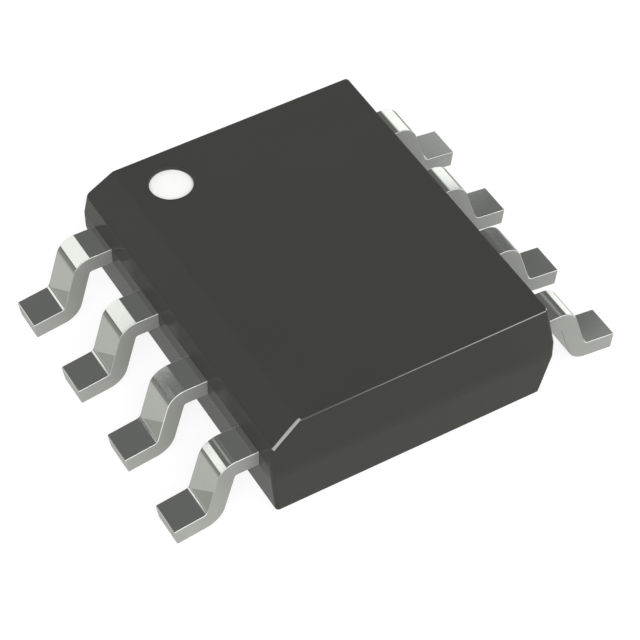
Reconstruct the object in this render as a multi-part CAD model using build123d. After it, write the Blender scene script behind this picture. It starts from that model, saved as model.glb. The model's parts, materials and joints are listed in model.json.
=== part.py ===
from build123d import *
from math import cos, radians, sin, tan
import os

# An eight-lead small-outline chip with gull-wing leads.
# Millimetres and degrees. X runs across the body from one row of leads to the other,
# Y runs along the rows, and Z points up from the board that the lead toes stand on.
# The origin is under the middle of the body, on the board.
# Lead 1 is on the -X side at the +Y end, and the numbers run anticlockwise seen from above.

# Leads, outside the body
leads_per_side = 4
lead_pitch = 1.27
lead_width = 0.48
lead_thickness = 0.24
shoulder_length = 0.288      # level stretch from the body to the upper bend
shoulder_bend_radius = 0.04  # inside radius of the upper bend
shank_angle = 73.0           # slope of the steep stretch, from level
heel_bend_radius = 0.08      # inside radius of the lower bend
foot_length = 0.40           # straight stretch of the foot
foot_angle = 8.0             # slope of the foot, toe down

# Moulded body
body_width = 3.95            # across X, at the band that the leads leave from
body_end_wall = 0.325        # along Y, from the end leads to the body's ends at the band
stand_off = 0.08             # from the board up to the body's underside
lower_half = 0.71            # from the underside up to the leads
upper_half = 0.57            # from the leads up to the top face
wall_draft = 8.0             # slope of the walls above and below the band, from upright
corner_radius = 0.05         # upright corners
edge_radius = 0.03           # edges of the top face, the bevel and the underside
bevel_width = 0.34           # bevel along the lead 1 side, seen from above
bevel_drop = 0.26            # the same bevel, from the top face down

# Dimple beside lead 1, and the white fill on its floor
dimple_diameter = 0.57
dimple_side_inset = 0.54     # dimple centre to the bevel's upper edge
dimple_end_inset = 0.575     # dimple centre to the top face's end
dimple_depth = 0.04          # from the top face down to the fill
mark_thickness = 0.03

# Lead fingers inside the body
finger_reach = 0.725         # from the body's side at the band in to the finger's end
finger_gap = 0.25            # from a finger to the pad
finger_flare = 0.11          # how much wider a finger is than its lead, each side that has room
flare_length = 0.40          # widened stretch of a finger, across X

# Pad that carries the silicon die, and the film that holds the die
pad_drop = 0.15              # pad's upper face below the leads' upper face
tie_bar_width = 0.40
tie_bar_flat = 0.30          # level end of each tie bar
tie_bar_cover = 0.12         # moulding left over the end of each tie bar
attach_thickness = 0.03
attach_rim = 0.05            # film that shows around the die
die_thickness = 0.25
die_side_rim = 0.25          # bare pad beside the die, across X
die_end_rim = 0.415          # bare pad beyond the die, along Y

# Bond wires
wire_diameter = 0.05
wire_loop = 0.14             # from the die's upper face up to the loop's top
wire_landing = 0.10          # upright end of each wire above the finger
wire_bend_radius = 0.06
ball_diameter = 0.11
ball_height = 0.03
stitch_height = 0.02
bond_inset = 0.16            # bond centre to the die's edges and to the finger's end

# Places worked out from the sizes above
row_length = (leads_per_side - 1) * lead_pitch
body_length = row_length + lead_width + 2 * body_end_wall
lead_bottom = stand_off + lower_half
lead_middle = lead_bottom + lead_thickness / 2
lead_top = lead_bottom + lead_thickness
body_top = lead_top + upper_half
draft_slope = tan(radians(wall_draft))
top_width = body_width - 2 * upper_half * draft_slope
top_length = body_length - 2 * upper_half * draft_slope
base_width = body_width - 2 * lower_half * draft_slope
base_length = body_length - 2 * lower_half * draft_slope
finger_end = body_width / 2 - finger_reach
pad_width = 2 * (finger_end - finger_gap)
pad_length = row_length - lead_width - 2 * finger_gap
pad_top = lead_top - pad_drop
attach_top = pad_top + attach_thickness
die_width = pad_width - 2 * die_side_rim
die_length = pad_length - 2 * die_end_rim
die_top = attach_top + die_thickness
dimple_x = -top_width / 2 + bevel_width + dimple_side_inset
dimple_y = top_length / 2 - dimple_end_inset


def lead_place(number):
    """Side (-1 or 1) and Y of a lead, counted anticlockwise from the dimple."""
    index = number - 1
    if index < leads_per_side:
        return -1, row_length / 2 - index * lead_pitch
    return 1, (index - leads_per_side) * lead_pitch - row_length / 2


def is_end_lead(y):
    return abs(y) > (row_length - lead_pitch) / 2


def direction(angle):
    """Unit vector in the side view, heading outward and down at this angle."""
    return Vector(cos(radians(angle)), 0, -sin(radians(angle)))


def upward(angle):
    """Unit vector square to that heading, on the strip's upper side."""
    return Vector(sin(radians(angle)), 0, cos(radians(angle)))


def strip_edge(side):
    """One long edge of the lead's side view, for a lead on the +X side.

    side is 1 for the upper edge and -1 for the lower one. The steep stretch is as long
    as it takes for the toe's lower corner to touch the board.
    """
    half = lead_thickness / 2
    upper_radius = shoulder_bend_radius + half
    lower_radius = heel_bend_radius + half
    upper_centre = Vector(body_width / 2 + shoulder_length, 0, lead_middle) - upward(0) * upper_radius
    shank_start = upper_centre + upward(shank_angle) * upper_radius
    toe_height = half * cos(radians(foot_angle))
    foot_drop = foot_length * sin(radians(foot_angle))
    bend_drop = lower_radius * (cos(radians(foot_angle)) - cos(radians(shank_angle)))
    shank_drop = shank_start.Z - bend_drop - foot_drop - toe_height
    shank_end = shank_start + direction(shank_angle) * (shank_drop / sin(radians(shank_angle)))
    lower_centre = shank_end + upward(shank_angle) * lower_radius
    toe = lower_centre - upward(foot_angle) * lower_radius + direction(foot_angle) * foot_length
    mean_angle = (shank_angle + foot_angle) / 2
    above = upper_radius + side * half
    below = lower_radius - side * half
    return [
        Line(Vector(finger_end, 0, lead_middle + side * half), upper_centre + upward(0) * above),
        ThreePointArc(
            upper_centre + upward(0) * above,
            upper_centre + upward(shank_angle / 2) * above,
            upper_centre + upward(shank_angle) * above,
        ),
        Line(upper_centre + upward(shank_angle) * above, lower_centre - upward(shank_angle) * below),
        ThreePointArc(
            lower_centre - upward(shank_angle) * below,
            lower_centre - upward(mean_angle) * below,
            lower_centre - upward(foot_angle) * below,
        ),
        Line(lower_centre - upward(foot_angle) * below, toe + upward(foot_angle) * (side * half)),
    ]


def gull_wing():
    """The folded strip of one lead on the +X side, centred on Y = 0."""
    upper = strip_edge(1)
    lower = strip_edge(-1)
    ends = [Line(upper[0] @ 0, lower[0] @ 0), Line(upper[-1] @ 1, lower[-1] @ 1)]
    outline = Face(Wire(upper + lower + ends))
    return extrude(outline, lead_width / 2, dir=(0, 1, 0), both=True)


def plan_block(x_low, x_high, y_low, y_high):
    """A rectangle of leadframe between these limits, at the leads' level."""
    middle = ((x_low + x_high) / 2, (y_low + y_high) / 2, lead_middle)
    return Pos(*middle) * Box(x_high - x_low, y_high - y_low, lead_thickness)


def finger(y):
    """Finger of a lead on the +X side, wider than the lead to lock into the moulding.

    A middle lead's finger flares both ways. An end lead's finger flares towards the
    body's end alone, and its arm runs on past the pad to the die's edge.
    """
    half = lead_width / 2
    flare_end = finger_end + flare_length
    if not is_end_lead(y):
        return plan_block(finger_end, flare_end, y - half - finger_flare, y + half + finger_flare)
    outward = 1 if y > 0 else -1
    flare_sides = sorted((y - outward * half, y + outward * (half + finger_flare)))
    arm = plan_block(die_width / 2, flare_end, y - half, y + half)
    return plan_block(finger_end, flare_end, *flare_sides) + arm


def make_lead(number):
    side, y = lead_place(number)
    lead = Pos(0, y, 0) * gull_wing() + finger(y)
    return lead if side > 0 else mirror(lead, about=Plane.YZ)


def make_die_pad():
    """Pad with a tie bar at each end, which steps up to the leads' level."""
    middle = pad_top - lead_thickness / 2
    pad = Pos(0, 0, middle) * Box(pad_width, pad_length, lead_thickness)
    bar_end = body_length / 2 - tie_bar_cover
    bar_flat_start = bar_end - tie_bar_flat
    step_start = pad_length / 2 - lead_thickness / 2
    upper = [(step_start, pad_top), (pad_length / 2, pad_top), (bar_flat_start, lead_top), (bar_end, lead_top)]
    lower = [(y, z - lead_thickness) for y, z in reversed(upper)]
    outline = make_face(Polyline([(0, y, z) for y, z in upper + lower], close=True))
    bar = extrude(outline, tie_bar_width / 2, dir=(1, 0, 0), both=True)
    return pad + bar + mirror(bar, about=Plane.XZ)


def make_die_attach():
    film = Box(die_width + 2 * attach_rim, die_length + 2 * attach_rim, attach_thickness)
    return Pos(0, 0, pad_top + attach_thickness / 2) * film


def make_die():
    return Pos(0, 0, attach_top + die_thickness / 2) * Box(die_width, die_length, die_thickness)


def die_bond(number):
    """Centre of a lead's bond on the die's upper face."""
    side, y = lead_place(number)
    bond_pitch = (die_length - 2 * bond_inset) / (leads_per_side - 1)
    return Vector(side * (die_width / 2 - bond_inset), y / lead_pitch * bond_pitch, die_top)


def lead_bond(number):
    """Centre of the same wire's bond on the lead's finger."""
    side, y = lead_place(number)
    end = die_width / 2 if is_end_lead(y) else finger_end
    return Vector(side * (end + bond_inset), y, lead_top)


def make_bond_wire(number):
    """Wire from the die to a lead, with its flattened ball and its stitch."""
    start = die_bond(number)
    end = lead_bond(number)
    loop_top = start + Vector(0, 0, wire_loop)
    landing = end + Vector(0, 0, wire_landing)
    path = FilletPolyline(start, loop_top, landing, end, radius=wire_bend_radius)
    section = Plane(origin=start, z_dir=(0, 0, 1)) * Circle(wire_diameter / 2)
    wire = sweep(section, path=path)
    up = (Align.CENTER, Align.CENTER, Align.MIN)
    ball = Pos(*start) * Cylinder(ball_diameter / 2, ball_height, align=up)
    stitch = Pos(*end) * Cylinder(ball_diameter / 2, stitch_height, align=up)
    return wire + ball + stitch


def body_section(width, length, z):
    return Pos(0, 0, z) * RectangleRounded(width, length, corner_radius)


def make_moulding():
    """The whole moulded block, before the pieces inside it are taken out."""
    block = loft(
        [
            body_section(base_width, base_length, stand_off),
            body_section(body_width, body_length, lead_bottom),
            body_section(body_width, body_length, lead_top),
            body_section(top_width, top_length, body_top),
        ],
        ruled=True,
    )
    edge_x = -top_width / 2 + bevel_width
    outer_x = edge_x - 2 * (bevel_width + bevel_drop * draft_slope)
    outline = [(edge_x, 0, body_top), (outer_x, 0, body_top - 2 * bevel_drop), (outer_x, 0, body_top)]
    block -= extrude(make_face(Polyline(outline, close=True)), body_length, dir=(0, 1, 0), both=True)
    bevel_middle = ((edge_x - top_width / 2) / 2, 0, body_top - bevel_drop / 2)
    faces = block.faces().sort_by(Axis.Z)
    rounded = [faces[0], faces[-1], block.faces().sort_by_distance(bevel_middle)[0]]
    rims = [rim for face in rounded for rim in face.edges()]
    block = fillet([edge for edge in block.edges() if any(edge.is_same(rim) for rim in rims)], edge_radius)
    depth = dimple_depth + mark_thickness
    down = (Align.CENTER, Align.CENTER, Align.MAX)
    return block - Pos(dimple_x, dimple_y, body_top) * Cylinder(dimple_diameter / 2, depth, align=down)


def make_pin_1_mark():
    down = (Align.CENTER, Align.CENTER, Align.MAX)
    return Pos(dimple_x, dimple_y, body_top - dimple_depth) * Cylinder(
        dimple_diameter / 2, mark_thickness, align=down
    )


def save(name, shape):
    shape.label = name
    export_step(shape, f"parts/{name}.step")


os.makedirs("parts", exist_ok=True)
held = {"die_pad": make_die_pad(), "die_attach": make_die_attach(), "die": make_die()}
for number in range(1, 2 * leads_per_side + 1):
    held[f"lead_{number}"] = make_lead(number)
    held[f"bond_wire_{number}"] = make_bond_wire(number)

body = make_moulding()
for piece in held.values():
    body -= piece

save("body", body)
save("pin_1_mark", make_pin_1_mark())
for name, piece in held.items():
    save(name, piece)
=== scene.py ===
"""Looks of an eight-lead small-outline chip: finish, finely rounded forms, stage, light and camera.

Forms are built in millimetres and set down in metres. Leads 1 to 4 are on the -X side, lead 1 at the +Y end.
"""
import json
from math import cos, pi, radians, sin, tan

import bmesh
import bpy
from mathutils import Matrix, Vector


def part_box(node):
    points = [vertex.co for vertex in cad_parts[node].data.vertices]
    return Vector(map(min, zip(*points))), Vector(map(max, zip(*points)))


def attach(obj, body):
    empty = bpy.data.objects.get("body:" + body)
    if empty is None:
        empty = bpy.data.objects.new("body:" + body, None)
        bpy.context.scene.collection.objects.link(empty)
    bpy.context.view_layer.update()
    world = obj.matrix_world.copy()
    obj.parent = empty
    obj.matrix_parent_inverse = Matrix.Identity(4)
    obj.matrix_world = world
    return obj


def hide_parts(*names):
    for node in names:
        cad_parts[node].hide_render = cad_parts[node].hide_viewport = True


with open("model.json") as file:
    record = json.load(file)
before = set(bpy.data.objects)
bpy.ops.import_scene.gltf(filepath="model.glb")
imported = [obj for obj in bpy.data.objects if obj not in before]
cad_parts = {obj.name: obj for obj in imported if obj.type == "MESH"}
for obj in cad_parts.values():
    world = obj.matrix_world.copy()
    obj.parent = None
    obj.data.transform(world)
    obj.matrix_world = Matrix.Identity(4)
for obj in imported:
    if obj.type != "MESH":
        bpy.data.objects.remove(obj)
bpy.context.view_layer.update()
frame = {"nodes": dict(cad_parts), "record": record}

MM = 0.001

# Sizes in millimetres and degrees, the same as the solids'
leads_per_side = 4
lead_pitch = 1.27
lead_width = 0.48
lead_thickness = 0.24
shoulder_length = 0.288
shoulder_bend_radius = 0.04
shank_angle = 73.0
heel_bend_radius = 0.08
foot_length = 0.40
foot_angle = 8.0
finger_reach = 0.725
finger_flare = 0.11
flare_length = 0.40
die_side = 0.75              # X of the die's side, where the end leads' arms stop
lower_half = 0.71
wall_draft = 8.0
corner_radius = 0.05
edge_radius = 0.03
bevel_width = 0.34
bevel_drop = 0.26
dimple_radius = 0.285
dimple_side_inset = 0.54
dimple_end_inset = 0.575
dimple_depth = 0.04
mark_thickness = 0.03

# Fine rounding that only the looks need
stamped_edge = 0.010         # long edges of the leads
toe_edge = 0.012             # edges of the toes
dimple_rim = 0.012
mark_edge = 0.008

# How far the shading of a bend runs ahead of its form, as (angle of the strip, lead) in degrees
shoulder_run = 0.05          # millimetres before the upper bend where it starts
shoulder_leads = {
    -1: [(0, 9), (35, 0), (73, 0)],
    1: [(0, 9), (20, 0), (36, -11), (48, -14), (62, -14), (73, 0)],
}
heel_leads = [(8, 0), (27, -18), (33, -10), (45, 0), (73, 0)]

# Steps of the round stretches
corner_steps = 14
edge_steps = 5
bend_steps = 30
section_steps = 4
dimple_steps = 96

sharp_edge = 35              # edges that turn by more degrees than this stay sharp
rounded_above = 30           # and the body's edges that turn by more are rounded
same_point = 1e-5            # points nearer than this are one
on_plane = 1e-6              # and points nearer than this to a cutting plane lie on it

# Body sizes read from the frame
body_low, body_high = [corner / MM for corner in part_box("body")]
body_width = body_high.x - body_low.x
body_length = body_high.y - body_low.y
stand_off = body_low.z
body_top = body_high.z
lead_bottom = stand_off + lower_half
lead_middle = lead_bottom + lead_thickness / 2
lead_top = lead_bottom + lead_thickness
draft_slope = tan(radians(wall_draft))
top_draft = (body_top - lead_top) * draft_slope
base_draft = lower_half * draft_slope
top_width = body_width - 2 * top_draft
top_length = body_length - 2 * top_draft


def add_object(name, mesh):
    piece = bpy.data.objects.new(name, mesh)
    bpy.context.scene.collection.objects.link(piece)
    return piece


def mesh_from(bm, name):
    bmesh.ops.recalc_face_normals(bm, faces=bm.faces)
    mesh = bpy.data.meshes.new(name)
    bm.to_mesh(mesh)
    bm.free()
    return mesh


def applied(piece):
    """The piece's mesh with its modifiers applied. The piece itself goes."""
    bpy.context.view_layer.update()
    graph = bpy.context.evaluated_depsgraph_get()
    mesh = bpy.data.meshes.new_from_object(piece.evaluated_get(graph), depsgraph=graph)
    bpy.data.objects.remove(piece)
    return mesh


def soften(mesh):
    """Turns the shading of a strip's faces by the angle that each point carries."""
    turns = mesh.attributes["shading_turn"].data
    normals = []
    for loop, corner in zip(mesh.loops, mesh.corner_normals):
        turn = Matrix.Rotation(turns[loop.vertex_index].value, 3, "Y")
        normals.append(turn @ corner.vector)
    mesh.normals_split_custom_set(normals)


def shaded(mesh, name):
    """An object in metres from a mesh in millimetres, smooth but for its sharp edges."""
    mesh.polygons.foreach_set("use_smooth", [True] * len(mesh.polygons))
    mesh.set_sharp_from_angle(angle=radians(sharp_edge))
    piece = add_object(name + "_draft", mesh)
    weighted = piece.modifiers.new("even shading", "WEIGHTED_NORMAL")
    weighted.keep_sharp = True
    weighted.weight = 80
    mesh = applied(piece)
    mesh.name = name
    if "shading_turn" in mesh.attributes:
        soften(mesh)
    mesh.transform(Matrix.Scale(MM, 4))
    return add_object(name, mesh)


def bridge(bm, rings):
    """Closed skin through rings of vertices, with a face on each end."""
    for lower, upper in zip(rings, rings[1:]):
        count = len(lower)
        for i in range(count):
            j = (i + 1) % count
            bm.faces.new((lower[i], lower[j], upper[j], upper[i]))
    bm.faces.new(rings[0])
    bm.faces.new(rings[-1])


def rounded_rectangle(u_low, u_high, v_low, v_high, radius, steps):
    """Corner arcs of a rounded rectangle, anticlockwise from the corner at high u and low v."""
    corners = [
        (u_high - radius, v_low + radius, -90),
        (u_high - radius, v_high - radius, 0),
        (u_low + radius, v_high - radius, 90),
        (u_low + radius, v_low + radius, 180),
    ]
    points = []
    for u, v, start in corners:
        for step in range(steps + 1):
            turn = radians(start + 90 * step / steps)
            points.append((u + radius * cos(turn), v + radius * sin(turn)))
    return points


def lathe(profile, centre, steps):
    """Closed turned form from (radius, height) points about an upright axis."""
    bm = bmesh.new()
    rings = []
    for radius, height in profile:
        ring = []
        for step in range(steps):
            turn = 2 * pi * step / steps
            place = centre + Vector((radius * cos(turn), radius * sin(turn), height))
            ring.append(bm.verts.new(place))
        rings.append(ring)
    bridge(bm, rings)
    return bm


# Leads


def lead_place(number):
    """Side (-1 or 1) and Y of a lead."""
    row = (leads_per_side - 1) * lead_pitch
    index = number - 1
    if index < leads_per_side:
        return -1, row / 2 - index * lead_pitch
    return 1, (index - leads_per_side) * lead_pitch - row / 2


def heading(angle):
    return Vector((cos(radians(angle)), 0, -sin(radians(angle))))


def upward(angle):
    return Vector((sin(radians(angle)), 0, cos(radians(angle))))


def read(stops, value):
    """The result at a value, on straight lines between (value, result) stops."""
    for (low, first), (high, last) in zip(stops, stops[1:]):
        if value <= high:
            return first + (last - first) * (value - low) / (high - low)
    return stops[-1][1]


def bend(centre, radius, start, end, inside, leads):
    """Stations of a bend, inside being 1 where its centre is below the strip."""
    stations = []
    for step in range(bend_steps + 1):
        angle = start + (end - start) * step / bend_steps
        stations.append((centre + upward(angle) * radius * inside, angle, read(leads, angle)))
    return stations


def lead_line(side):
    """Centre line of a lead outside its finger, up to the toe: points, headings and shading leads."""
    half = lead_thickness / 2
    upper_radius = shoulder_bend_radius + half
    lower_radius = heel_bend_radius + half
    upper_centre = Vector((body_width / 2 + shoulder_length, 0, lead_middle - upper_radius))
    shank_start = upper_centre + upward(shank_angle) * upper_radius
    toe_height = half * cos(radians(foot_angle))
    foot_drop = foot_length * sin(radians(foot_angle))
    bend_drop = lower_radius * (cos(radians(foot_angle)) - cos(radians(shank_angle)))
    shank_drop = shank_start.z - bend_drop - foot_drop - toe_height
    shank_end = shank_start + heading(shank_angle) * (shank_drop / sin(radians(shank_angle)))
    lower_centre = shank_end + upward(shank_angle) * lower_radius
    foot_start = lower_centre - upward(foot_angle) * lower_radius
    line = [(upper_centre + Vector((-shoulder_run, 0, upper_radius)), 0, 0)]
    line += bend(upper_centre, upper_radius, 0, shank_angle, 1, shoulder_leads[side])
    line += bend(lower_centre, lower_radius, shank_angle, foot_angle, -1, heel_leads)
    line.append((foot_start + heading(foot_angle) * (foot_length - toe_edge), foot_angle, 0))
    return line


def finger_stations(number):
    """Level stretch inside the body: (x, lowest y, highest y), with y from the lead's middle."""
    side, y = lead_place(number)
    half = lead_width / 2
    wide = half + finger_flare
    inner = body_width / 2 - finger_reach
    outer = inner + flare_length
    if abs(y) < lead_pitch:
        return [(inner, -wide, wide), (outer, -wide, wide), (outer, -half, half)]
    low, high = (-half, wide) if y > 0 else (-wide, half)
    arm = [(die_side, -half, half), (inner, -half, half)]
    return arm + [(inner, low, high), (outer, low, high), (outer, -half, half)]


def lead_mesh(number):
    """The folded strip with its finger, its long edges and its toe finely rounded."""
    side, y = lead_place(number)
    half_width = lead_width / 2
    half_thickness = lead_thickness / 2
    stations = []
    for x, low, high in finger_stations(number):
        stations.append((Vector((x, 0, lead_middle)), 0, 0, low, high, 0))
    stations += [(*station, -half_width, half_width, 0) for station in lead_line(side)]
    toe_start = stations[-1][0]
    for step in range(1, section_steps + 1):
        turn = pi / 2 * step / section_steps
        place = toe_start + heading(foot_angle) * (toe_edge * sin(turn))
        stations.append((place, foot_angle, 0, -half_width, half_width, toe_edge * (1 - cos(turn))))
    bm = bmesh.new()
    turned = bm.verts.layers.float.new("shading_turn")
    rings = []
    for place, angle, lead, low, high, inset in stations:
        up_reach = half_thickness - inset
        outline = rounded_rectangle(
            low + inset, high - inset, -up_reach, up_reach, stamped_edge, section_steps
        )
        ring = []
        for across, up in outline:
            point = place + upward(angle) * up
            ring.append(bm.verts.new((side * point.x, y + across, point.z)))
            ring[-1][turned] = radians(side * lead)
        rings.append(ring)
    bridge(bm, rings)
    bmesh.ops.remove_doubles(bm, verts=bm.verts, dist=same_point)
    bmesh.ops.dissolve_degenerate(bm, edges=bm.edges, dist=same_point)
    return mesh_from(bm, f"lead_{number}_form")


# Body


def moulding_mesh():
    """The moulded block with its bevel, before its edges are rounded."""
    bm = bmesh.new()
    levels = [
        (stand_off, base_draft),
        (lead_bottom, 0),
        (lead_top, 0),
        (body_top, top_draft),
    ]
    rings = []
    for height, draft in levels:
        x = body_width / 2 - draft
        y = body_length / 2 - draft
        outline = rounded_rectangle(-x, x, -y, y, corner_radius, corner_steps)
        rings.append([bm.verts.new((u, v, height)) for u, v in outline])
    bridge(bm, rings)
    bevel_edge = Vector((bevel_width - top_width / 2, 0, body_top))
    outward = Vector((-bevel_drop, 0, bevel_width + bevel_drop * draft_slope))
    everything = bm.verts[:] + bm.edges[:] + bm.faces[:]
    cut = bmesh.ops.bisect_plane(
        bm, geom=everything, dist=on_plane, plane_co=bevel_edge, plane_no=outward, clear_outer=True
    )
    rim = [part for part in cut["geom_cut"] if isinstance(part, bmesh.types.BMEdge)]
    bmesh.ops.contextual_create(bm, geom=rim)
    return mesh_from(bm, "moulding")


def dimple_cutter():
    """The hollow of the dimple, with a rim that rounds over into the top face."""
    floor = -dimple_depth - mark_thickness
    profile = [(dimple_radius, floor)]
    for step in range(edge_steps + 1):
        turn = pi / 2 * step / edge_steps
        profile.append((dimple_radius + dimple_rim * (1 - cos(turn)), dimple_rim * (sin(turn) - 1)))
    profile.append((dimple_radius + dimple_rim, dimple_depth))
    return mesh_from(lathe(profile, dimple_centre(), dimple_steps), "dimple")


def dimple_centre():
    x = -top_width / 2 + bevel_width + dimple_side_inset
    return Vector((x, top_length / 2 - dimple_end_inset, body_top))


def node_form(node):
    """A CAD node's form in millimetres, with its split vertices joined."""
    bm = bmesh.new()
    bm.from_mesh(frame["nodes"][node].data)
    bmesh.ops.scale(bm, vec=(1 / MM, 1 / MM, 1 / MM), verts=bm.verts)
    bmesh.ops.remove_doubles(bm, verts=bm.verts, dist=same_point)
    return mesh_from(bm, node + "_form")


def carve(piece, mesh, solver):
    """Takes a mesh out of a piece."""
    cutter = add_object("cutter", mesh)
    hollow = piece.modifiers.new("hollow", "BOOLEAN")
    hollow.operation = "DIFFERENCE"
    hollow.solver = solver
    hollow.object = cutter
    result = applied(piece)
    bpy.data.objects.remove(cutter)
    return add_object("moulding", result)


def make_body(held):
    block = add_object("moulding", moulding_mesh())
    rounding = block.modifiers.new("edges", "BEVEL")
    rounding.limit_method = "ANGLE"
    rounding.angle_limit = radians(rounded_above)
    rounding.width = edge_radius
    rounding.segments = edge_steps
    rounding.miter_outer = "MITER_SHARP"
    block = add_object("moulding", applied(block))
    block = carve(block, dimple_cutter(), "EXACT")
    for mesh in held:
        block = carve(block, mesh, "MANIFOLD")
    mesh = block.data
    bpy.data.objects.remove(block)
    return shaded(mesh, "moulded_body")


def make_mark():
    """White fill on the dimple's floor, with a soft edge."""
    profile = [(dimple_radius, -dimple_depth - mark_thickness)]
    for step in range(edge_steps + 1):
        turn = pi / 2 * step / edge_steps
        radius = dimple_radius - mark_edge * (1 - cos(turn))
        profile.append((radius, -dimple_depth - mark_edge * (1 - sin(turn))))
    return shaded(mesh_from(lathe(profile, dimple_centre(), dimple_steps), "mark"), "white_mark")


# Materials

lead_edge_highlight = (0.90, 0.90, 0.88)        # tone of the highlight painted on the leads' edges
compound_edge_highlight = (0.42, 0.42, 0.403)   # tone of the highlight painted on two of the body's edges
highlight_bevel = (0.017, 0.006)           # half-width and softness of the painted highlight at the bevel end
highlight_front = (0.011, 0.004)           # the same along the front top edge
highlight_bevel_share = 0.8                # how strong the painted highlight at the bevel end is
highlight_front_share = (0.2, 1.0)         # the same along the front, from the bevel to the corner
highlight_bevel_inset = 0.020              # how far the painted highlight lies back from the bevel's end
highlight_front_drop = 0.005               # how far it lies down and out at the front edge
highlight_foot_run = 0.045                 # how far it runs past the bevel's foot
highlight_top_run = 0.020                  # and past its top
highlight_corner = (30, 80)                # stretch of the corner that carries the painted highlight, in degrees
grain_range = (0.3, 0.7)                # stretch of a noise that carries most of its spots


class Graph:
    """A node tree, with short ways to add nodes and to join them."""

    def __init__(self, tree):
        self.tree = tree
        tree.nodes.clear()

    def add(self, kind, inputs=None, **settings):
        """Adds a node. Inputs are numbers, colours or other nodes' outputs, by name or by number."""
        node = self.tree.nodes.new("ShaderNode" + kind)
        for name, value in settings.items():
            setattr(node, name, value)
        for name, value in (inputs or {}).items():
            if isinstance(value, bpy.types.NodeSocket):
                self.tree.links.new(value, node.inputs[name])
            else:
                node.inputs[name].default_value = value
        return node

    def number(self, operation, *values):
        """A Math node's result."""
        return self.add("Math", dict(enumerate(values)), operation=operation).outputs[0]

    def ramp(self, value, low, high, out_low=0.0, out_high=1.0):
        """A smooth step from out_low to out_high as the value goes from low to high."""
        inputs = {"Value": value, "From Min": low, "From Max": high, "To Min": out_low, "To Max": out_high}
        return self.add("MapRange", inputs, interpolation_type="SMOOTHSTEP").outputs[0]

    def blend(self, factor, first, second):
        """A blend of two numbers."""
        return self.add("Mix", {"Factor": factor, "A": first, "B": second}).outputs[0]

    def step(self, value, middle, soft, out_low=0.0, out_high=1.0):
        """A ramp that reaches as far as soft on both sides of its middle."""
        return self.ramp(value, middle - soft, middle + soft, out_low, out_high)

    def colours(self, factor, first, second):
        """A blend of two colours."""
        node = self.add("Mix", data_type="RGBA")
        self.tree.links.new(factor, node.inputs["Factor"])
        for name, colour in (("A", first), ("B", second)):
            socket = [s for s in node.inputs if s.name == name and s.type == "RGBA"][0]
            if isinstance(colour, bpy.types.NodeSocket):
                self.tree.links.new(colour, socket)
            else:
                socket.default_value = (*colour, 1)
        return [s for s in node.outputs if s.type == "RGBA"][0]

    def place(self, stretch=(1, 1, 1)):
        """The point on the piece in millimetres, stretched along its axes."""
        point = self.add("TexCoord").outputs["Object"]
        scale = tuple(s / MM for s in stretch)
        return self.add("Mapping", {"Vector": point, "Scale": scale}).outputs[0]

    def noise(self, scale, detail=2.0, stretch=(1, 1, 1)):
        """Noise of about this many spots a millimetre."""
        inputs = {"Vector": self.place(stretch), "Scale": scale, "Detail": detail}
        return self.add("TexNoise", inputs).outputs[0]

    def bump(self, height, depth, strength=1.0):
        """A bump from a height of 0 to 1 that stands for this depth in millimetres."""
        return self.add("Bump", {"Height": height, "Distance": depth * MM, "Strength": strength}).outputs[0]


def surface(slot):
    """A new material for a slot, and its graph."""
    material = bpy.data.materials.new(slot)
    material.use_nodes = True
    return material, Graph(material.node_tree)


def close(graph, **inputs):
    """Ends a material with a Principled shader."""
    named = {name.replace("_", " "): value for name, value in inputs.items()}
    shader = graph.add("BsdfPrincipled", named)
    graph.add("OutputMaterial", {"Surface": shader.outputs[0]})


def line_mask(graph, start, end, reach, soft):
    """1 within reach of the straight line from start to end, in millimetres, and 0 past it."""
    along = (end - start).normalized()
    offset = graph.add("VectorMath", {0: graph.place(), 1: start}, operation="SUBTRACT").outputs[0]
    run = graph.add("VectorMath", {0: offset, 1: along}, operation="DOT_PRODUCT").outputs["Value"]
    sweep = graph.add("VectorMath", {0: offset, 1: along}, operation="CROSS_PRODUCT").outputs[0]
    apart = graph.add("VectorMath", {0: sweep}, operation="LENGTH").outputs["Value"]
    near = graph.ramp(apart, reach, reach + soft, 1, 0)
    past_start = graph.ramp(run, 0, soft)
    before_end = graph.ramp(run, (end - start).length - soft, (end - start).length, 1, 0)
    return graph.number("MULTIPLY", near, graph.number("MULTIPLY", past_start, before_end))


def on_corner(corner, angle):
    """A point on the body's rounded corner at +X and -Y, by its angle round from the front."""
    back = 1 - cos(radians(angle))
    return corner + Vector((sin(radians(angle)) - 1, back, 0)) * corner_radius


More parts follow.
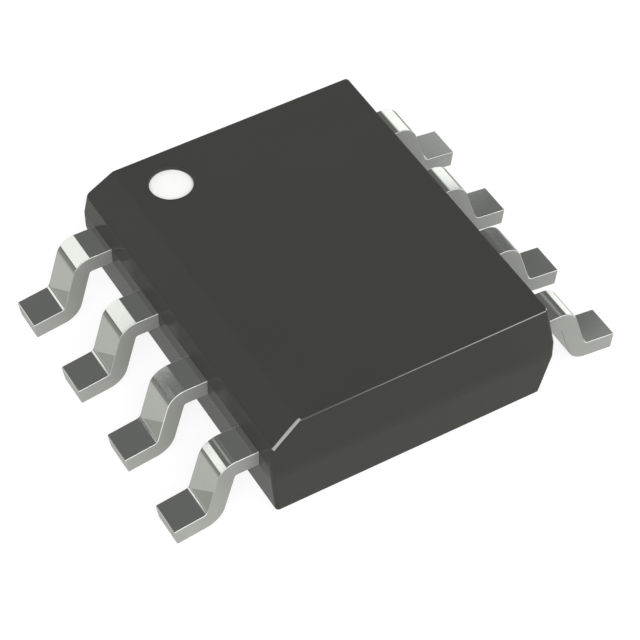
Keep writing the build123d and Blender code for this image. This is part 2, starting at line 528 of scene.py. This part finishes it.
def mould_compound():
    """Dark epoxy with a fine spark-eroded grain, glossy on the walls, with a highlight painted light along
    two edges.
    """
    material, graph = surface("mould_compound")
    cloud = graph.noise(0.9, 3)
    grain = graph.noise(55, 3)
    tone = graph.colours(cloud, (0.0405, 0.0403, 0.0368), (0.0450, 0.0446, 0.0406))
    # A highlight is painted into the base colour along the bevel's end and along the front top edge with its
    # corner.
    front = -top_length / 2
    bevel_top = Vector((bevel_width - top_width / 2, front, body_top))
    bevel_foot = bevel_top - Vector((bevel_width, bevel_drop * draft_slope, bevel_drop))
    corner = Vector((top_width / 2, front, body_top))
    slope = (bevel_top - bevel_foot).normalized()
    inward = Vector((0, highlight_bevel_inset, 0))
    bevel_start = bevel_foot - slope * highlight_foot_run + inward
    bevel_stop = bevel_top + slope * highlight_top_run + inward
    bevel_end = line_mask(graph, bevel_start, bevel_stop, *highlight_bevel)
    bevel_end = graph.number("MULTIPLY", bevel_end, highlight_bevel_share)
    outward = Vector((0, -highlight_front_drop, -highlight_front_drop))
    front_edge = line_mask(graph, bevel_top + outward, corner + outward, *highlight_front)
    arc_start, arc_end = [on_corner(corner, angle) for angle in highlight_corner]
    arc = line_mask(graph, arc_start, arc_end, *highlight_front)
    across = graph.add("SeparateXYZ", {"Vector": graph.place()}).outputs["X"]
    front_share = graph.ramp(across, bevel_top.x, corner.x, *highlight_front_share)
    front_edge = graph.number("MULTIPLY", graph.number("MAXIMUM", front_edge, arc), front_share)
    painted_highlight = graph.number("MAXIMUM", bevel_end, front_edge)
    facing = graph.add("SeparateXYZ", {"Vector": graph.add("NewGeometry").outputs["Normal"]}).outputs["Z"]
    level = graph.ramp(graph.number("ABSOLUTE", facing), 0.3, 0.6)
    rough = graph.ramp(level, 0, 1, 0.13, 0.45)
    rough = graph.number("ADD", graph.ramp(grain, *grain_range, 0, 0.04), rough)
    close(
        graph,
        Base_Color=graph.colours(painted_highlight, tone, compound_edge_highlight),
        Roughness=rough,
        Specular_IOR_Level=0.13,
        Normal=graph.bump(grain, 0.0001),
    )
    return material


def white_fill():
    """Matt white ink, a little uneven."""
    material, graph = surface("white_fill")
    cloud = graph.noise(7, 3)
    grain = graph.noise(60, 2)
    close(
        graph,
        Base_Color=graph.colours(cloud, (0.92, 0.92, 0.905), (0.96, 0.96, 0.95)),
        Roughness=graph.ramp(grain, *grain_range, 0.5, 0.65),
        Normal=graph.bump(grain, 0.0012),
    )
    return material


def tinned_lead():
    """Satin tin plate: bright faces, duller sheared sides with faint streaks, and a highlight painted on the
    upper edges.
    """
    material, graph = surface("tinned_lead")
    streak = graph.noise(3, 4, (1, 9, 1))
    cloud = graph.noise(2.2, 3)
    grain = graph.noise(30, 3)
    face = graph.colours(cloud, (0.448, 0.466, 0.438), (0.493, 0.508, 0.478))
    sheared = graph.colours(streak, (0.344, 0.352, 0.332), (0.386, 0.393, 0.370))
    facing = graph.add("SeparateXYZ", {"Vector": graph.add("NewGeometry").outputs["Normal"]}).outputs
    along_y = graph.number("ABSOLUTE", facing["Y"])
    along_x = graph.number("ABSOLUTE", facing["X"])
    side = graph.number("MAXIMUM", graph.ramp(along_y, 0.80, 0.98), graph.ramp(along_x, 0.966, 0.986))
    # A highlight is painted on the near edge of leads 3 and 6 along its steep stretch too
    near_edge = -(lead_pitch + lead_width) / 2
    y = graph.add("SeparateXYZ", {"Vector": graph.place()}).outputs["Y"]
    apart = graph.number("ABSOLUTE", graph.number("SUBTRACT", y, near_edge))
    steep_highlight = graph.ramp(apart, 0.02, 0.03, 1, 0)
    steep_highlight = graph.number("MULTIPLY", steep_highlight, graph.ramp(along_y, 0.90, 0.97, 1, 0))
    steep_highlight = graph.number("MULTIPLY", steep_highlight, graph.ramp(facing["Z"], -0.10, 0.05))
    # A highlight is painted on the leads' upper edges, light and not metallic.
    upper = graph.ramp(facing["Z"], 0.3, 0.5)
    edge = graph.number("MULTIPLY", graph.ramp(along_y, 0.3, 0.5), graph.number("MAXIMUM", steep_highlight, upper))
    rough = graph.ramp(side, 0, 1, 0.065, 0.42)
    rough = graph.number("ADD", graph.ramp(grain, *grain_range, 0, 0.015), rough)
    close(
        graph,
        Base_Color=graph.colours(edge, graph.colours(side, face, sheared), lead_edge_highlight),
        Metallic=graph.number("MULTIPLY", graph.ramp(side, 0, 1, 1.0, 0.4), graph.ramp(edge, 0, 1, 1, 0)),
        Roughness=rough,
        Normal=graph.bump(grain, 0.00005),
    )
    return material


def copper_frame():
    """Bare rolled copper, streaked along the strip."""
    material, graph = surface("copper_frame")
    streak = graph.noise(4, 4, (8, 1, 1))
    close(
        graph,
        Base_Color=graph.colours(streak, (0.60, 0.30, 0.19), (0.72, 0.38, 0.25)),
        Metallic=1.0,
        Roughness=graph.ramp(streak, *grain_range, 0.28, 0.42),
        Normal=graph.bump(streak, 0.0006),
    )
    return material


def attach_film():
    """Silver-filled epoxy with flakes."""
    material, graph = surface("attach_film")
    flakes = graph.noise(40, 4)
    close(
        graph,
        Base_Color=graph.colours(flakes, (0.22, 0.23, 0.24), (0.36, 0.37, 0.39)),
        Metallic=0.4,
        Roughness=graph.ramp(flakes, *grain_range, 0.4, 0.6),
        Normal=graph.bump(flakes, 0.0015),
    )
    return material


def silicon():
    """Polished silicon with a faint pattern of circuit blocks."""
    material, graph = surface("silicon")
    cells = graph.add("TexVoronoi", {"Vector": graph.place(), "Scale": 9.0}, distance="CHEBYCHEV")
    blocks = graph.add("RGBToBW", {"Color": cells.outputs["Color"]}).outputs[0]
    close(
        graph,
        Base_Color=graph.colours(blocks, (0.040, 0.048, 0.070), (0.075, 0.080, 0.095)),
        Metallic=0.5,
        Roughness=graph.ramp(blocks, 0.0, 1.0, 0.12, 0.22),
        Normal=graph.bump(blocks, 0.0003),
    )
    return material


def bond_wire():
    """Bright drawn gold."""
    material, graph = surface("bond_wire")
    streak = graph.noise(30, 2)
    close(
        graph,
        Base_Color=graph.colours(streak, (0.78, 0.50, 0.15), (0.90, 0.62, 0.24)),
        Metallic=1.0,
        Roughness=graph.ramp(streak, *grain_range, 0.16, 0.26),
        Normal=graph.bump(streak, 0.0004),
    )
    return material


def dress(piece, material):
    piece.data.materials.clear()
    piece.data.materials.append(material)


# Stage, light and camera

second_mirror = 1.5          # glossy depth past which a mirror is seen in another one

pool_radius = 8.5            # plain white floor under and around the chip
pool_fade = 18.0             # where the floor has gone over to its pale grey
plain_tone = 0.94
far_grey = 0.62
mirror_reach = 1.9           # the plain floor ends this many times nearer in reflections
mirror_sides = (-3.0, 3.0)   # X where the floor in reflections reaches the tones of its sides
mirror_far = (0.40, 0.82)    # the far floor's grey in reflections, at -X and at +X
mirror_open = (0.78, 0.60)   # the near floor's grey in them, out from the body
mirror_painted_shade = 0.42         # its grey at the body's foot in reflections, a painted shadow
mirror_painted_shade_reach = 0.8    # how far out the painted shadow fades to the open tone
mirror_deep = 1.18           # the near floor's grey in a mirror seen in another one
mirror_tint = (0.985, 0.985, 0.945)
floor_radius = 400.0
floor_steps = 64
floor_gap = 0.0005           # the floor lies this far under the chip
floor_glow = 1.15            # how bright the floor's own white is
seen_share = 0.80            # how much of the floor's white doesn't depend on the lamps


def make_floor():
    """White floor that keeps the chip's shadow and goes over to a pale grey far off. In reflections it
    carries a painted shadow at the body's foot.
    """
    bm = bmesh.new()
    bmesh.ops.create_circle(bm, cap_ends=True, segments=floor_steps, radius=floor_radius * MM)
    floor = add_object("floor", mesh_from(bm, "floor"))
    floor.location.z = -floor_gap * MM
    material, graph = surface("floor")
    place = graph.place()
    x = graph.add("SeparateXYZ", {"Vector": place}).outputs["X"]
    path = graph.add("LightPath").outputs
    mirrored = path["Is Glossy Ray"]
    distance = graph.add("VectorMath", {0: place}, operation="LENGTH").outputs["Value"]
    distance = graph.number("MULTIPLY", distance, graph.ramp(mirrored, 0, 1, 1, mirror_reach))
    far_tone = graph.blend(mirrored, far_grey, graph.ramp(x, *mirror_sides, *mirror_far))
    open_tone = graph.ramp(x, *mirror_sides, *mirror_open)
    # In reflections the floor is painted darker at the body's foot: a painted shadow.
    beside = graph.number("SUBTRACT", graph.number("ABSOLUTE", x), body_width / 2)
    near_tone = graph.ramp(beside, 0, mirror_painted_shade_reach, mirror_painted_shade, open_tone)
    deep = graph.number("GREATER_THAN", path["Glossy Depth"], second_mirror)
    near_tone = graph.blend(deep, near_tone, mirror_deep)
    near_tone = graph.blend(mirrored, plain_tone, near_tone)
    tone = graph.blend(graph.ramp(distance, pool_radius, pool_fade), near_tone, far_tone)
    tint = graph.colours(mirrored, (1, 1, 1), mirror_tint)
    glow = graph.add("Emission", {"Color": tint, "Strength": graph.number("MULTIPLY", tone, floor_glow)})
    lit = graph.add("BsdfDiffuse", {"Color": tone})
    seen = graph.number("MAXIMUM", path["Is Camera Ray"], mirrored)
    seen = graph.number("MAXIMUM", seen, path["Is Transmission Ray"])
    share = graph.number("MULTIPLY", seen, seen_share)
    both = graph.add("MixShader", {0: share, 1: lit.outputs[0], 2: glow.outputs[0]})
    graph.add("OutputMaterial", {"Surface": both.outputs[0]})
    floor.data.materials.append(material)


sky_low = (4, 9)             # stretch over the horizon where the sky darkens, in degrees
sky_light = (0.42, 0.25)     # its light below and above that
box_soft = 1.5               # softness of a soft box's first edge, in degrees
box_side_soft = 0.002        # and of its sides
deep_sky = (0.25, 0.55)      # Z of the direction where a mirror seen in another one finds less light
deep_light = (0.9, 0.35)     # the light that such a mirror gets on top of the sky's

# A soft box is bounded by its turn about the Y axis from +X, in degrees, and by the Y part of its
# direction. Then come its light and the softness of its last edge in degrees.
soft_boxes = [
    (93, 166, 0.608, 1.10, 1.8, 1.5),       # bends of leads 1 and 2
    (8, 42, 0.585, 1.10, 2.0, 5),           # bends of leads 7 and 8
    (132, 171, 0.556, 0.579, 2.2, 1.5),     # bend of lead 4
    (96, 100, 0.556, 0.579, 0.35, 1.5),     # streaks over it
    (108, 116, 0.556, 0.579, 0.68, 1.5),
    (-20, 20, 0.480, 0.550, 2.0, 1.5),      # bend of lead 5
    (34, 43, 0.526, 0.556, 0.52, 1.5),      # streak over it
    (38, 52, 0.440, 0.522, 0.6, 1.5),       # foot of lead 5
    (30, 105, -0.97, -0.30, 2.2, 1.5),      # in front, for the rounded near edges
]


def make_sky():
    """Studio round the chip: pale at the horizon, darker overhead, with soft boxes.

    The boxes show in a mirror of the chip. A mirror seen in another one gets a plain light instead.
    """
    world = bpy.data.worlds.new("studio")
    bpy.context.scene.world = world
    world.use_nodes = True
    graph = Graph(world.node_tree)
    axes = graph.add("SeparateXYZ", {"Vector": graph.add("TexCoord").outputs["Generated"]}).outputs
    turn = graph.number("ARCTAN2", axes["Z"], axes["X"])
    light = graph.ramp(axes["Z"], *[sin(radians(angle)) for angle in sky_low], *sky_light)
    boxes = 0.0
    for first, last, y_low, y_high, power, last_soft in soft_boxes:
        edges = [
            graph.step(turn, radians(first), radians(box_soft)),
            graph.step(turn, radians(last), radians(last_soft), 1, 0),
            graph.step(axes["Y"], y_low, box_side_soft),
            graph.step(axes["Y"], y_high, box_side_soft, 1, 0),
        ]
        inside = 1.0
        for edge in edges:
            inside = graph.number("MULTIPLY", inside, edge)
        boxes = graph.number("MULTIPLY_ADD", inside, power - sky_light[1], boxes)
    direct = graph.number("LESS_THAN", graph.add("LightPath").outputs["Glossy Depth"], second_mirror)
    deep = graph.ramp(axes["Z"], *deep_sky, *deep_light)
    light = graph.number("ADD", light, graph.blend(direct, deep, boxes))
    back = graph.add("Background", {"Color": (1, 1, 1, 1), "Strength": light})
    graph.add("OutputWorld", {"Surface": back.outputs[0]})


key_energy = 1.62
key_spread = 45              # degrees
key_from = Vector((-0.45, -0.62, 0.64))


def make_key():
    """Soft key light from the front left, high up."""
    key = bpy.data.lights.new("key", "SUN")
    key.energy = key_energy
    key.angle = radians(key_spread)
    lamp = add_object("key", key)
    lamp.rotation_mode = "QUATERNION"
    lamp.rotation_quaternion = key_from.to_track_quat("Z", "Y")


camera_place = Vector((-10.7050, -18.9422, 24.1921))
camera_aim = Vector((-0.2032, -0.5167, 0.7983))
camera_roll = -0.502         # degrees
camera_lens = 143.241
camera_film = 36
camera_sees = (1, 1000)      # nearest and furthest point in view


def make_camera():
    data = bpy.data.cameras.new("camera")
    data.lens = camera_lens
    data.sensor_width = camera_film
    data.clip_start, data.clip_end = [reach * MM for reach in camera_sees]
    camera = add_object("camera", data)
    camera.location = camera_place * MM
    camera.rotation_mode = "QUATERNION"
    roll = Matrix.Rotation(radians(camera_roll), 3, "Z").to_quaternion()
    camera.rotation_quaternion = (camera_aim - camera_place).to_track_quat("-Z", "Y") @ roll
    bpy.context.scene.camera = camera


make_camera()
make_floor()
make_sky()
make_key()
bpy.context.scene.view_settings.view_transform = "Standard"

finishes = [mould_compound, white_fill, tinned_lead, copper_frame, attach_film, silicon, bond_wire]
materials = {finish.__name__: finish() for finish in finishes}
slots = {part["node"]: part["material_slot"] for part in frame["record"]["subparts"]}


def seat(piece, node):
    """Lets a piece stand for a CAD node, with that node's finish."""
    dress(piece, materials[slots[node]])
    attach(piece, "root")
    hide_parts(node)


lead_numbers = range(1, 2 * leads_per_side + 1)
replaced = ["body", "pin_1_mark"] + [f"lead_{number}" for number in lead_numbers]
held = [lead_mesh(number) for number in lead_numbers]
held += [node_form(node) for node in frame["nodes"] if node not in replaced]
seat(make_body(held), "body")
seat(make_mark(), "pin_1_mark")
for number in lead_numbers:
    seat(shaded(lead_mesh(number), f"gull_wing_{number}"), f"lead_{number}")
for node, piece in frame["nodes"].items():
    if node not in replaced:
        dress(piece, materials[slots[node]])
